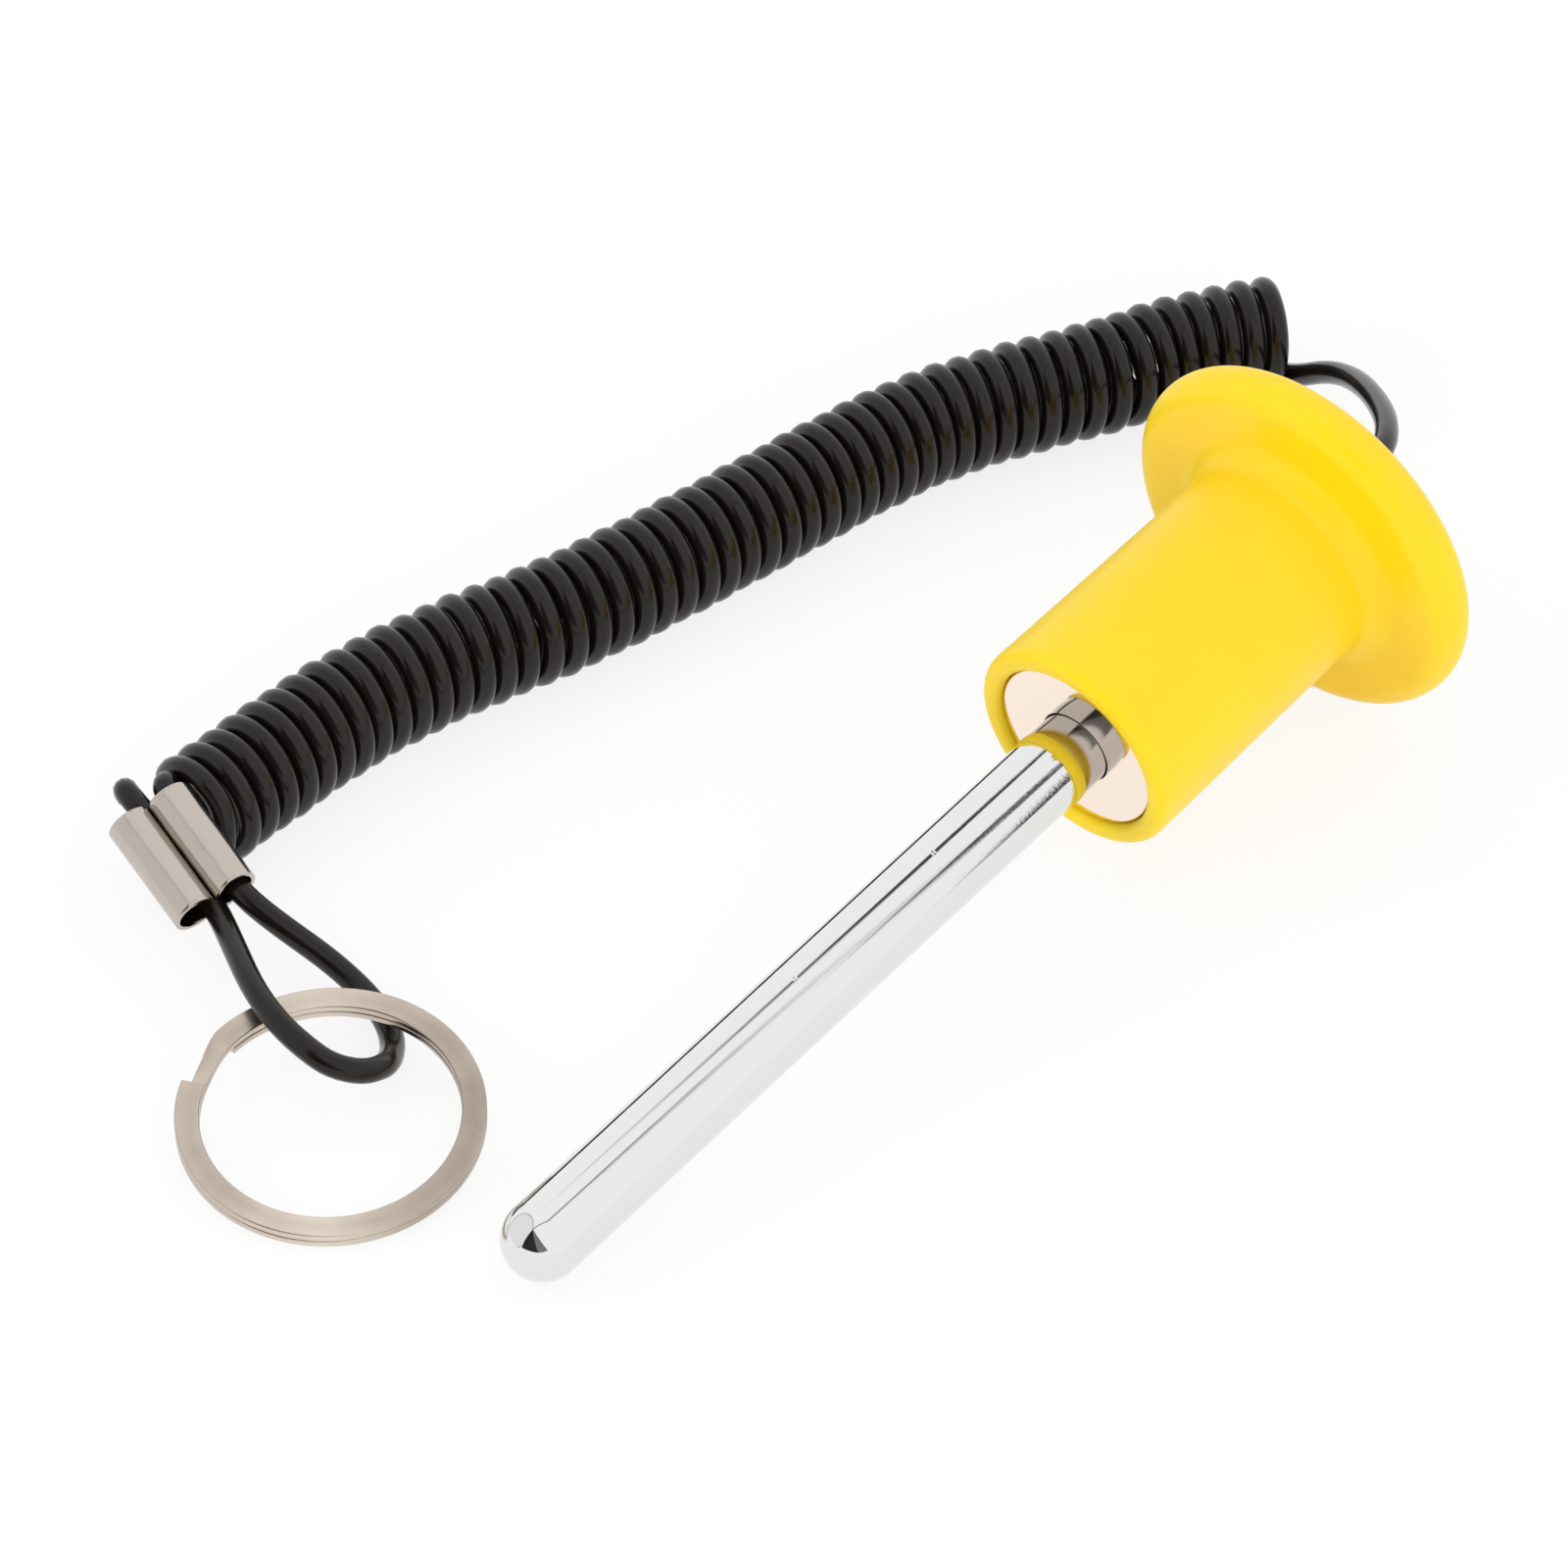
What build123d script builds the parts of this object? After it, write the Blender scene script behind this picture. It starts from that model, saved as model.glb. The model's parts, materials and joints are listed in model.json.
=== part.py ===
"""Weight stack pin with a magnetic mushroom knob on a coiled lanyard.

All sizes are in millimetres.  The pin lies on a flat surface (z = 0) as it comes to rest: on its
round tip and on the rim of the knob.  +X runs from the tip to the knob, +Z is up, and the origin is
under the middle of the pin's own box.  The lanyard lies beside the pin, on its +Y side.
"""

from build123d import *
from math import asin, atan2, cos, degrees, hypot, radians, sin, sqrt, tan
import os

# ---- pin rod, measured along the pin's own axis from the tip ------------------------------------
rod_radius = 5.0
shoulder_station = 96.7
shank_radius = 4.0
shank_length = 24.0
shank_clearance = 0.05

# ---- soft ring on the shank, between the rod's end and the neck ----------------------------------
buffer_length = 2.0
buffer_rear_wall = 0.35
buffer_crown = 0.2

# ---- threaded insert: neck, backing flange and ribbed barrel ------------------------------------
neck_radius = 4.9
neck_length = 3.6
neck_edge = 0.25
insert_flange_radius = 9.0
insert_flange_length = 3.0
barrel_radius = 7.0
barrel_length = 17.0
barrel_groove_depth = 0.8
barrel_groove_width = 2.0
barrel_groove_count = 3
bore_end_room = 1.5

# ---- ring magnet in the front of the knob -------------------------------------------------------
magnet_radius = 11.6
magnet_length = 6.0
magnet_clearance = 0.1
magnet_edge = 0.3

# ---- moulded knob -------------------------------------------------------------------------------
magnet_recess = 0.9
lip_outer_round = 1.4
lip_inner_round = 0.8
collar_front_radius = 14.6
collar_rear_radius = 14.2
collar_length = 38.4
flare_radius = 3.5
flange_radius = 25.15
rim_round = 3.3
dome_rise = 5.4
pocket_clearance = 0.15

# ---- cord, and the crimped stop that holds it in the knob ----------------------------------------
cord_diameter = 3.1
cord_hole_clearance = 0.15
cord_mouth_round = 0.8
stop_radius = 3.4
stop_length = 9.0
stop_floor = 1.2
stop_clearance = 0.1
stop_gap = 6.0

# ---- coiled stretch -----------------------------------------------------------------------------
coil_diameter = 15.6
coil_bore_diameter = 9.4

# ---- ferrule: one folded sheet, two barrels side by side ------------------------------------------
ferrule_length = 15.2
ferrule_wall = 0.6
ferrule_cord_clearance = 0.75
ferrule_barrel_overlap = 0.2
ferrule_curl_angle = 155.0
ferrule_centre = (-57.95, 72.95, 10.95)
ferrule_along = (0.181, 0.939, 0.293)
ferrule_across = (0.933, -0.258, 0.250)

# ---- split ring: two flat turns with one crossing -------------------------------------------------
ring_radius = 18.5
ring_band = 3.4
ring_turn_thickness = 1.02
ring_turn_gap = 0.05
ring_edge_round = 0.25
ring_crossing_angle = 22.0
ring_crossing_band = 2.5
ring_end_clearance = 0.6
ring_crossing_heading = 97.4
ring_lean = 8.0
ring_lean_heading = 225.0
ring_centre_x = -72.65
ring_centre_y = 33.1

cord_radius = cord_diameter / 2

# ---- the cord's route, in the part's frame -------------------------------------------------------
coil_route = [
    (-50.75, 79.7, 7.8),
    (-21.5, 79.1, 7.8),
    (6.0, 73.7, 7.8),
    (34.0, 68.5, 7.8),
    (63.0, 64.3, 7.8),
    (86.5, 56.3, 7.8),
    (99.0, 48.4, 7.9),
    (110.5, 39.6, 9.0),
]
loop_route = [
    (-49.9, 82.7, 9.6),
    (-49.6, 83.6, 11.4),
    (-49.9, 83.2, 13.5),
    (-51.2, 82.0, 14.6),
    (-53.43, 80.03, 13.79),
    (-56.39, 64.15, 8.84),
    (-55.96, 58.94, 7.3),
    (-54.47, 52.28, 4.8),
    (-54.16, 47.3, 3.2),
    (-54.68, 43.5, 2.45),
    (-56.05, 39.93, 2.1),
    (-58.17, 37.2, 2.15),
    (-60.64, 35.14, 3.3),
    (-63.14, 33.69, 4.8),
    (-66.54, 33.76, 6.2),
    (-69.05, 36.49, 7.4),
    (-69.5, 40.07, 8.2),
    (-69.26, 44.26, 8.8),
    (-68.29, 48.37, 9.2),
    (-66.42, 52.8, 9.05),
    (-63.04, 58.84, 8.2),
    (-60.61, 63.28, 7.7),
    (-59.63, 65.53, 7.78),
    (-56.73, 80.35, 12.42),
    (-56.04, 83.74, 13.4),
    (-54.05, 85.8, 10.65),
]
tail_route = [
    (79.2, 0.4, 26.6),
    (86.0, 2.2, 26.2),
    (92.3, 6.3, 23.6),
    (98.2, 11.3, 19.8),
    (104.4, 17.9, 15.4),
    (109.4, 24.9, 10.8),
    (111.9, 30.2, 6.8),
    (110.9, 34.0, 4.9),
]
tail_coil_offset = 6.2
tail_coil_angle = 225.0


def corner_radii(points, limit):
    """Largest arc that the two runs at each inner point allow."""
    radii = []
    for before, here, after in zip(points, points[1:], points[2:]):
        come = Vector(*here) - Vector(*before)
        go = Vector(*after) - Vector(*here)
        half_turn = radians(come.get_angle(go)) / 2
        radii.append(min(0.45 * min(come.length, go.length) / tan(half_turn), limit))
    return radii


def route_wire(points, name):
    """Straight runs joined by tangent arcs; prints the radii."""
    radii = corner_radii(points, 400.0)
    print(name, "arc radii:", [round(radius, 1) for radius in radii])
    return FilletPolyline(*points, radius=radii)


def tube_along(path, outer_radius, inner_radius=0.0):
    """Round tube or rod swept along a path."""
    start = Plane(origin=path @ 0, z_dir=path % 0)
    section = Circle(outer_radius)
    if inner_radius > 0:
        section -= Circle(inner_radius)
    return sweep(start * section, path=path)


def report_volume(name, solid, section_area, path):
    """Print a swept solid's volume beside its section times its length."""
    print(name, "volume", round(solid.volume, 1), "section x length", round(section_area * path.length, 1))


# ---- how the pin lies ---------------------------------------------------------------------------
rod_end_station = shoulder_station - buffer_length
lip_station = shoulder_station + neck_length - magnet_recess
magnet_station = shoulder_station + neck_length
insert_flange_station = magnet_station + magnet_length
barrel_station = insert_flange_station + insert_flange_length
barrel_end_station = barrel_station + barrel_length
flange_station = lip_station + collar_length + flare_radius + rim_round
rim_ring_radius = flange_radius - rim_round
apex_station = flange_station + rim_round + dome_rise

rest_reach = hypot(flange_station - rod_radius, rim_ring_radius)
pin_tilt = asin((rim_round - rod_radius) / rest_reach)
pin_tilt += atan2(rim_ring_radius, flange_station - rod_radius)

apex_to_rim = apex_station - flange_station
dome_radius = apex_to_rim**2 + rim_ring_radius**2 - rim_round**2
dome_radius /= 2 * (apex_to_rim - rim_round)
dome_centre_station = apex_station - dome_radius
pin_reach = (dome_centre_station - rod_radius) * cos(pin_tilt) + dome_radius
tip_x = -(pin_reach - rod_radius) / 2
pin_place = Location((tip_x, 0, rod_radius), (0, -degrees(pin_tilt), 0)) * Location((-rod_radius, 0, 0))


def turned(outline):
    """Revolve an outline of (station, radius) about the pin's axis."""
    return revolve(outline, axis=Axis.X)


def make_pin_rod():
    """Chromed bar: round tip and the screwed shank behind it."""
    shank_end = shoulder_station + shank_length
    thread_radius = shank_radius - shank_clearance
    tip = ThreePointArc(
        (0, 0),
        (rod_radius - rod_radius * cos(radians(45)), rod_radius * sin(radians(45))),
        (rod_radius, rod_radius),
    )
    body = Polyline(
        (rod_radius, rod_radius),
        (rod_end_station, rod_radius),
        (rod_end_station, thread_radius),
        (shank_end - 1.0, thread_radius),
        (shank_end, thread_radius - 1.0),
        (shank_end, 0),
        (0, 0),
    )
    return turned(make_face([*tip.edges(), *body.edges()]))


def make_buffer_ring():
    """Soft ring with a crowned outside that narrows towards the neck."""
    rear_radius = shank_radius + buffer_rear_wall
    crown = ThreePointArc(
        (rod_end_station, rod_radius),
        (rod_end_station + buffer_length / 2, (rod_radius + rear_radius) / 2 + buffer_crown),
        (shoulder_station, rear_radius),
    )
    bore = Polyline(
        (shoulder_station, rear_radius),
        (shoulder_station, shank_radius),
        (rod_end_station, shank_radius),
        (rod_end_station, rod_radius),
    )
    return turned(make_face([*crown.edges(), *bore.edges()]))


def insert_outline():
    """Outer outline of the insert from the neck to the closed end, as (station, radius) points."""
    points = [
        (shoulder_station, neck_radius - neck_edge),
        (shoulder_station + neck_edge, neck_radius),
        (insert_flange_station, neck_radius),
        (insert_flange_station, insert_flange_radius),
        (barrel_station, insert_flange_radius),
        (barrel_station, barrel_radius),
    ]
    pitch = barrel_length / (barrel_groove_count + 1)
    for number in range(1, barrel_groove_count + 1):
        middle = barrel_station + number * pitch
        front = middle - barrel_groove_width / 2
        rear = middle + barrel_groove_width / 2
        points.append((front, barrel_radius))
        points.append((front, barrel_radius - barrel_groove_depth))
        points.append((rear, barrel_radius - barrel_groove_depth))
        points.append((rear, barrel_radius))
    points.append((barrel_end_station, barrel_radius))
    return points


def make_threaded_insert():
    """Steel insert that the shank screws into; its neck stands out through the magnet."""
    bore_end = shoulder_station + shank_length + bore_end_room
    outline = insert_outline()
    outline += [
        (barrel_end_station, 0),
        (bore_end, 0),
        (bore_end, shank_radius),
        (shoulder_station, shank_radius),
    ]
    return turned(make_face(Polyline(*outline, close=True).edges()))


def make_face_magnet():
    """Nickel-plated ring magnet with softened edges."""
    inner = neck_radius + magnet_clearance
    outline = Polyline(
        (magnet_station, inner),
        (magnet_station, magnet_radius - magnet_edge),
        (magnet_station + magnet_edge, magnet_radius),
        (insert_flange_station - magnet_edge, magnet_radius),
        (insert_flange_station, magnet_radius - magnet_edge),
        (insert_flange_station, inner),
        close=True,
    )
    return turned(make_face(outline.edges()))


def make_cord_stop():
    """Crimped cup on the cord's hidden end, with a closed floor."""
    inner = cord_radius + stop_clearance
    front = barrel_end_station + stop_gap
    outline = Polyline(
        (front, 0),
        (front, stop_radius),
        (front + stop_length, stop_radius),
        (front + stop_length, inner),
        (front + stop_floor, inner),
        (front + stop_floor, 0),
        close=True,
    )
    return turned(make_face(outline.edges()))


def knob_outline():
    """Outside of the knob: lip, tapered collar, flare, thick round rim and dome, closed on the axis."""
    pocket_radius = magnet_radius + pocket_clearance
    flange_face = flange_station - rim_round
    flare_start = flange_face - flare_radius
    flare_top = collar_rear_radius + flare_radius
    corner = cos(radians(45))
    join = atan2(rim_ring_radius, flange_station - dome_centre_station)
    rim_end = (
        flange_station + rim_round * cos(join),
        rim_ring_radius + rim_round * sin(join),
    )
    dome_middle = (
        dome_centre_station + dome_radius * cos(join / 2),
        dome_radius * sin(join / 2),
    )
    lip = [
        Line((magnet_station, pocket_radius), (lip_station + lip_inner_round, pocket_radius)),
        ThreePointArc(
            (lip_station + lip_inner_round, pocket_radius),
            (lip_station + lip_inner_round * (1 - corner), pocket_radius + lip_inner_round * (1 - corner)),
            (lip_station, pocket_radius + lip_inner_round),
        ),
        Line(
            (lip_station, pocket_radius + lip_inner_round),
            (lip_station, collar_front_radius - lip_outer_round),
        ),
        ThreePointArc(
            (lip_station, collar_front_radius - lip_outer_round),
            (
                lip_station + lip_outer_round * (1 - corner),
                collar_front_radius - lip_outer_round * (1 - corner),
            ),
            (lip_station + lip_outer_round, collar_front_radius),
        ),
    ]
    body = [
        Line((lip_station + lip_outer_round, collar_front_radius), (flare_start, collar_rear_radius)),
        ThreePointArc(
            (flare_start, collar_rear_radius),
            (flare_start + flare_radius * corner, collar_rear_radius + flare_radius * (1 - corner)),
            (flange_face, flare_top),
        ),
        Line((flange_face, flare_top), (flange_face, rim_ring_radius)),
        ThreePointArc(
            (flange_face, rim_ring_radius),
            (
                flange_station + rim_round * cos((join + radians(180)) / 2),
                rim_ring_radius + rim_round * sin((join + radians(180)) / 2),
            ),
            rim_end,
        ),
        ThreePointArc(rim_end, dome_middle, (apex_station, 0)),
    ]
    close = Polyline((apex_station, 0), (magnet_station, 0), (magnet_station, pocket_radius))
    edges = [*close.edges()]
    for curve in lip + body:
        edges += curve.edges()
    return edges


def make_knob():
    """Moulded knob around the magnet, the insert, the cord stop and the cord."""
    solid = turned(make_face(knob_outline()))
    pocket_radius = magnet_radius + pocket_clearance
    stop_front = barrel_end_station + stop_gap
    hole_radius = cord_radius + cord_hole_clearance
    hollow = Polyline(
        (magnet_station - magnet_recess, 0),
        (magnet_station - magnet_recess, pocket_radius),
        (insert_flange_station, pocket_radius),
        (insert_flange_station, 0),
        close=True,
    )
    solid -= turned(make_face(hollow.edges()))
    insert_body = Polyline(*insert_outline(), (barrel_end_station, 0), (shoulder_station, 0), close=True)
    solid -= turned(make_face(insert_body.edges()))
    mouth_radius = hole_radius + cord_mouth_round
    mouth_station = dome_centre_station + sqrt(dome_radius**2 - mouth_radius**2)
    mouth = ThreePointArc(
        (mouth_station - cord_mouth_round, hole_radius),
        (
            mouth_station - cord_mouth_round * (1 - sin(radians(45))),
            hole_radius + cord_mouth_round * (1 - cos(radians(45))),
        ),
        (mouth_station, mouth_radius),
    )
    cord_way = Polyline(
        (mouth_station, mouth_radius),
        (apex_station + 1, mouth_radius),
        (apex_station + 1, 0),
        (stop_front, 0),
        (stop_front, stop_radius),
        (stop_front + stop_length, stop_radius),
        (stop_front + stop_length, hole_radius),
        (mouth_station - cord_mouth_round, hole_radius),
    )
    solid -= turned(make_face([*cord_way.edges(), *mouth.edges()]))
    return solid


def make_ferrule():
    """Folded sheet: flat back, two round barrels, and both edges curled in to meet at the middle seam."""
    channel_radius = cord_radius + ferrule_cord_clearance
    middle_radius = channel_radius + ferrule_wall / 2
    barrel_offset = channel_radius + ferrule_wall - ferrule_barrel_overlap / 2
    half = Polyline((0, -middle_radius), (barrel_offset, -middle_radius))
    half += CenterArc((barrel_offset, 0), middle_radius, -90, 90 + ferrule_curl_angle)
    path = half + mirror(half, Plane.YZ)
    sheet = trace(path, ferrule_wall)
    body = extrude(sheet, ferrule_length / 2, both=True)
    return ferrule_plane() * body


def ferrule_plane():
    """Working plane of the ferrule: X across the barrels, Z along them, Y out of the seam side."""
    return Plane(origin=ferrule_centre, x_dir=ferrule_across, z_dir=Vector(*ferrule_along) * -1)


def ring_section(angle, height, band):
    """Rounded rectangle across the wire of the split ring at one angle."""
    out = Vector(cos(radians(angle)), sin(radians(angle)), 0)
    origin = out * (ring_radius - ring_band / 2) + Vector(0, 0, height + ring_turn_thickness / 2)
    plane = Plane(origin=origin, x_dir=out, z_dir=Vector(-out.Y, out.X, 0))
    return plane * RectangleRounded(band, ring_turn_thickness, ring_edge_round)


def ring_turn(start, stop, height):
    """Flat turn of the split ring between two angles."""
    section = ring_section(start, height, ring_band)
    return revolve(section, axis=Axis.Z, revolution_arc=stop - start)


def make_split_ring():
    """Two flat turns joined by one crossing that climbs clockwise, seen from above."""
    climb = ring_turn_thickness + ring_turn_gap
    free = degrees(ring_end_clearance / ring_radius)
    half = ring_crossing_angle / 2
    lower = ring_turn(half + free, 360 - half, 0)
    upper = ring_turn(half, 360 - half - free, climb)
    steps = 6
    sections = []
    for number in range(steps + 1):
        share = number / steps
        angle = -half + share * 2 * half
        rise = (1 - cos(radians(180 * share))) / 2 * climb
        narrowing = sin(radians(180 * share)) * (ring_band - ring_crossing_band)
        sections.append(ring_section(angle, rise, ring_band - narrowing))
    crossing = loft(sections)
    return ring_place() * mirror(lower + crossing + upper, Plane.XZ)


def ring_place():
    """Where the split ring lies: leaning, with its lowest edge on the surface."""
    lean = Location((0, 0, 0), (0, 0, ring_lean_heading)) * Location((0, 0, 0), (0, ring_lean, 0))
    spin = Location((0, 0, 0), (0, 0, ring_crossing_heading - ring_lean_heading))
    height = ring_radius * sin(radians(ring_lean))
    return Location((ring_centre_x, ring_centre_y, height)) * lean * spin


def make_lanyard_coil():
    """Outer shape of the coiled stretch: one fat tube."""
    path = route_wire(coil_route, "lanyard_coil")
    solid = tube_along(path, coil_diameter / 2, coil_bore_diameter / 2)
    area = 3.14159 * (coil_diameter**2 - coil_bore_diameter**2) / 4
    report_volume("lanyard_coil", solid, area, path)
    return solid


def inside_coil(end, inner):
    """Block behind one end face of the coil, to trim a cord that meets that face."""
    face = Plane(origin=end, z_dir=Vector(*inner) - Vector(*end))
    size = 2 * coil_diameter
    return face * Box(size, size, coil_diameter, align=(Align.CENTER, Align.CENTER, Align.MIN))


def make_lanyard_loop():
    """Plain cord from the coil through the ferrule, round the loop, and out to its cut end."""
    path = route_wire(loop_route, "lanyard_loop")
    solid = tube_along(path, cord_radius)
    report_volume("lanyard_loop", solid, 3.14159 * cord_radius**2, path)
    return solid - inside_coil(coil_route[0], coil_route[1])


def make_lanyard_tail():
    """Plain cord from the stop inside the knob, out of the dome and down to the end of the coil."""
    stop_floor_station = barrel_end_station + stop_gap + stop_floor
    start = pin_place * Location((stop_floor_station, 0, 0))
    leave = pin_place * Location((apex_station + 1.5, 0, 0))
    along = Vector(*coil_route[-1]) - Vector(*coil_route[-2])
    end_face = Plane(origin=coil_route[-1], z_dir=along)
    side = Vector(along.Y, -along.X, 0).normalized()
    rise = side.cross(along.normalized())
    angle = radians(tail_coil_angle)
    meet = end_face.origin + side * (-cos(angle) * tail_coil_offset) + rise * (sin(angle) * tail_coil_offset)
    points = [tuple(start.position), tuple(leave.position)]
    points += tail_route
    points.append(tuple(meet))
    path = route_wire(points, "lanyard_tail")
    solid = tube_along(path, cord_radius)
    report_volume("lanyard_tail", solid, 3.14159 * cord_radius**2, path)
    return solid - inside_coil(coil_route[-1], coil_route[-2])


parts = {
    "pin_rod": pin_place * make_pin_rod(),
    "buffer_ring": pin_place * make_buffer_ring(),
    "threaded_insert": pin_place * make_threaded_insert(),
    "face_magnet": pin_place * make_face_magnet(),
    "knob": pin_place * make_knob(),
    "cord_stop": pin_place * make_cord_stop(),
    "ferrule": make_ferrule(),
    "split_ring": make_split_ring(),
    "lanyard_coil": make_lanyard_coil(),
    "lanyard_loop": make_lanyard_loop(),
    "lanyard_tail": make_lanyard_tail(),
}

os.makedirs("parts", exist_ok=True)
for name, solid in parts.items():
    export_step(solid, f"parts/{name}.step")
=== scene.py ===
"""Weight stack pin with a magnetic mushroom knob on a coiled lanyard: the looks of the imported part."""
import json
import math

import bmesh
import bpy
import numpy as np
from bpy.props import FloatProperty, FloatVectorProperty, IntProperty, PointerProperty
from mathutils import Matrix, Vector

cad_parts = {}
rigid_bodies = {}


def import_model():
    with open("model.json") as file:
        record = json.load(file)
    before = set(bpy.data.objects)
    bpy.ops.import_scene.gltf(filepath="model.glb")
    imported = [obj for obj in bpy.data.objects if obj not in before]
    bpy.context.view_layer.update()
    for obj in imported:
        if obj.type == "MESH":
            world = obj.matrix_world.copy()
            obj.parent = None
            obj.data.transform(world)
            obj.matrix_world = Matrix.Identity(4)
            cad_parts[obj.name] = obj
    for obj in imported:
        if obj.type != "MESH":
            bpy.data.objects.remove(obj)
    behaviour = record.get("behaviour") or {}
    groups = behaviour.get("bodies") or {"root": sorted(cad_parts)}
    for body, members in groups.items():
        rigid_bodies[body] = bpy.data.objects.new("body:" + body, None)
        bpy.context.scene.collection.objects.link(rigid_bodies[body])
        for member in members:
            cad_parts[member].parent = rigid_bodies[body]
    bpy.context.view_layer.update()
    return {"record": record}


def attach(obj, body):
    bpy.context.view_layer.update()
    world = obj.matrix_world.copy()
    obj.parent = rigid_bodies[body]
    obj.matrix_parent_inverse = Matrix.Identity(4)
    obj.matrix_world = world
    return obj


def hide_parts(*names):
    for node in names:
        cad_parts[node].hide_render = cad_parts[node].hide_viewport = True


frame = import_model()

bl_info = {
    "name": "Weight stack pin",
    "version": (1, 0, 0),
    "blender": (4, 5, 0),
    "location": "3D View > Sidebar > Stack pin",
    "description": "Selector pin with a mushroom knob, a coiled cord, a crimped loop and a split ring",
    "category": "Object",
}

MM = 0.001
LANYARD_BODY = frame["record"]["behaviour"]["joints"][0]["parent"]
RING_BODY = frame["record"]["behaviour"]["joints"][0]["child"]
MOUNTS = {mount["name"]: mount for mount in frame["record"]["mounts"]}

# ---- the pin's own line: stations count in millimetres from the rod's tip -------------------------
ROD_MOUNT_STATION = 49.85
PIN_LINE = -np.array(MOUNTS["selector_pin"]["axis"], float)
PIN_LINE /= np.linalg.norm(PIN_LINE)
PIN_TIP = np.array(MOUNTS["selector_pin"]["pos_m"], float) - PIN_LINE * ROD_MOUNT_STATION * MM
PIN_SIDE = np.array((0.0, 1.0, 0.0))
PIN_UP = np.cross(PIN_LINE, PIN_SIDE)

ROD_END = 94.7
SHOULDER = 96.7
SHANK_END = SHOULDER + 24.0
NECK_FRONT = SHOULDER - 0.25
NECK_LENGTH = 3.6
MAGNET_FACE = SHOULDER + NECK_LENGTH
MAGNET_LENGTH = 6.0
INSERT_FLANGE = MAGNET_FACE + MAGNET_LENGTH
INSERT_FLANGE_LENGTH = 3.0
BARREL = INSERT_FLANGE + INSERT_FLANGE_LENGTH
BARREL_LENGTH = 17.0
BARREL_END = BARREL + BARREL_LENGTH
LIP = MAGNET_FACE - 0.9
COLLAR_LENGTH = 38.4
FLARE = 3.5
RIM = 3.3
DOME_RISE = 5.4
FLANGE_MIDDLE = LIP + COLLAR_LENGTH + FLARE + RIM
APEX = FLANGE_MIDDLE + RIM + DOME_RISE
STOP_FRONT = BARREL_END + 6.0
STOP_FLOOR = STOP_FRONT + 1.2
STOP_END = STOP_FRONT + 9.0

# ---- radii of what sits inside the knob, and the bore's clearance, in millimetres -----------------
INSERT_FLANGE_RADIUS = 9.0
BARREL_RADIUS = 7.0
STOP_RADIUS = 3.4
BORE_ROOM = 0.05

# ---- the cord's route, in millimetres in the part's frame -----------------------------------------
COIL_ROUTE = (
    (-49.3, 79.67, 7.8),
    (-31.8, 80.0, 7.8),
    (-21.3, 79.6, 7.8),
    (-7.4, 77.2, 7.8),
    (5.7, 73.1, 7.8),
    (17.7, 70.7, 7.8),
    (33.9, 68.2, 7.8),
    (63.2, 64.6, 7.8),
    (75.3, 60.6, 7.8),
    (86.0, 55.6, 7.8),
    (93.5, 52.0, 7.8),
    (100.6, 49.7, 7.8),
    (108.2, 45.9, 7.8),
    (115.3, 41.4, 7.8),
)
LAST_HALF_TURN = (
    (-49.9, 73.81, 10.24),
    (-50.7, 73.33, 7.8),
    (-51.5, 73.81, 5.36),
    (-52.1, 75.2, 3.3),
    (-52.3, 77.26, 1.92),
    (-52.0, 79.7, 1.6),
    (-51.4, 81.9, 2.4),
    (-50.6, 83.0, 5.0),
    (-50.2, 82.8, 7.7),
    (-50.3, 82.5, 10.0),
)
LOOP_ROUTE = (
    (-50.7, 82.35, 12.0),
    (-51.4, 82.0, 13.1),
    (-52.2, 81.55, 13.75),
    (-52.9, 80.9, 13.98),
    (-53.43, 80.03, 13.79),
    (-53.62, 79.05, 13.48),
    (-54.17, 76.06, 12.55),
    (-54.91, 72.09, 11.31),
    (-55.65, 68.12, 10.08),
    (-56.39, 64.15, 8.84),
    (-55.96, 58.94, 7.3),
    (-54.47, 52.28, 4.8),
    (-54.16, 47.3, 3.2),
    (-54.68, 43.5, 2.45),
    (-56.05, 39.93, 2.1),
    (-58.17, 37.2, 2.15),
    (-60.64, 35.14, 3.3),
    (-63.14, 33.69, 4.8),
    (-66.54, 33.76, 6.2),
    (-69.05, 36.49, 7.4),
    (-69.5, 40.07, 8.2),
    (-69.26, 44.26, 8.8),
    (-68.29, 48.37, 9.2),
    (-66.42, 52.8, 9.05),
    (-63.04, 58.84, 8.2),
    (-60.61, 63.28, 7.7),
    (-59.63, 65.53, 7.78),
    (-58.9, 69.23, 8.94),
    (-58.18, 72.94, 10.1),
    (-57.46, 76.64, 11.26),
    (-56.9, 79.8, 12.3),
    (-56.75, 82.2, 13.2),
    (-56.3, 84.2, 13.5),
    (-55.4, 85.5, 12.6),
    (-54.8, 85.8, 10.9),
)
TAIL_ROUTE = (
    (79.2, 0.4, 26.6),
    (86.0, 2.2, 26.2),
    (92.3, 6.3, 24.0),
    (98.2, 11.8, 20.8),
    (104.4, 18.8, 16.6),
    (109.4, 25.4, 12.2),
    (111.9, 31.0, 8.5),
    (113.0, 36.0, 4.5),
)

# the coil starts low, and its last part of a turn opens towards the clamp
COIL_START_ANGLE = 255.0
COIL_LAST_PART = 240.0 / 360.0
COIL_UNEVENNESS = 0.011
COIL_UNEVEN_RATE = 0.31

ROD_NICKS = ((-28.2, -0.32, 16.23), (-3.7, -0.53, 19.75))

# how far the sheet curls round each barrel, how much closer the barrels are pressed, and the edges' bevel
FERRULE_CURL, FERRULE_SQUEEZE, FERRULE_EDGE = 163.0, 0.1, 0.12
FERRULE_CENTRE = (-57.95, 72.95, 10.95)
FERRULE_ALONG = (0.181, 0.939, 0.293)
FERRULE_ACROSS = (0.933, -0.258, 0.250)


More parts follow.
